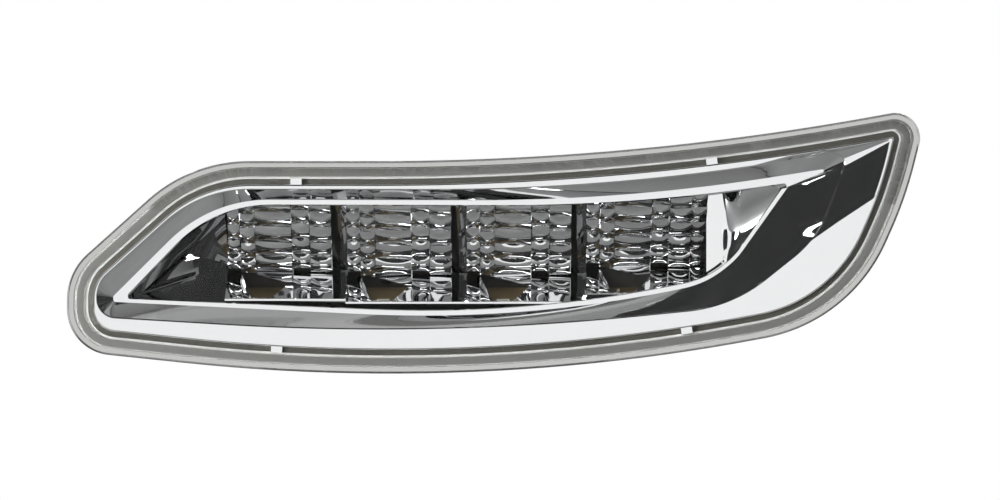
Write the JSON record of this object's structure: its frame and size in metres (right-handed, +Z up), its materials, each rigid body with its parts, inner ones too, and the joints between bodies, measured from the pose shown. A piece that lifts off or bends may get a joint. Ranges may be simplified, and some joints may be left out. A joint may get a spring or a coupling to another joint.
{
  "type": "truck marker lamp",
  "caption": "Swept clear-lens LED marker lamp with a chrome bezel, faceted chrome reflector cells, a grey welded housing and a plug socket at the back.",
  "frame": {"origin": "midpoint between the two mounting inserts, on the rear mounting face", "axes": "+X along the lamp towards its pointed upper corner, +Y out of the back, +Z up; the lens faces -Y"},
  "size_m": [0.2285, 0.054, 0.0698],
  "materials": {
    "clear_lens": "clear gloss",
    "housing_grey": "satin",
    "chrome_trim": "mirror",
    "chrome_reflector": "mirror",
    "board_laminate": "satin",
    "led_body": "gloss",
    "resistor_ceramic": "satin",
    "component_black": "satin",
    "capacitor_can": "satin",
    "screw_steel": "satin",
    "terminal_tin": "satin",
    "insert_brass": "satin",
    "vent_black": "matte"
  },
  "bodies": {
    "root": {"lens": "clear_lens", "housing": "housing_grey", "bezel": "chrome_trim", "reflector": "chrome_reflector", "circuit_board": "board_laminate", "regulator": "component_black", "diode": "component_black", "capacitor": "capacitor_can", "vent_cap": "vent_black", "led_1": "led_body", "resistor_1": "resistor_ceramic", "led_2": "led_body", "resistor_2": "resistor_ceramic", "led_3": "led_body", "resistor_3": "resistor_ceramic", "led_4": "led_body", "resistor_4": "resistor_ceramic", "board_screw_1": "screw_steel", "board_screw_2": "screw_steel", "board_screw_3": "screw_steel", "terminal_1": "terminal_tin", "insert_1": "insert_brass", "terminal_2": "terminal_tin", "insert_2": "insert_brass"}
  },
  "joints": []
}
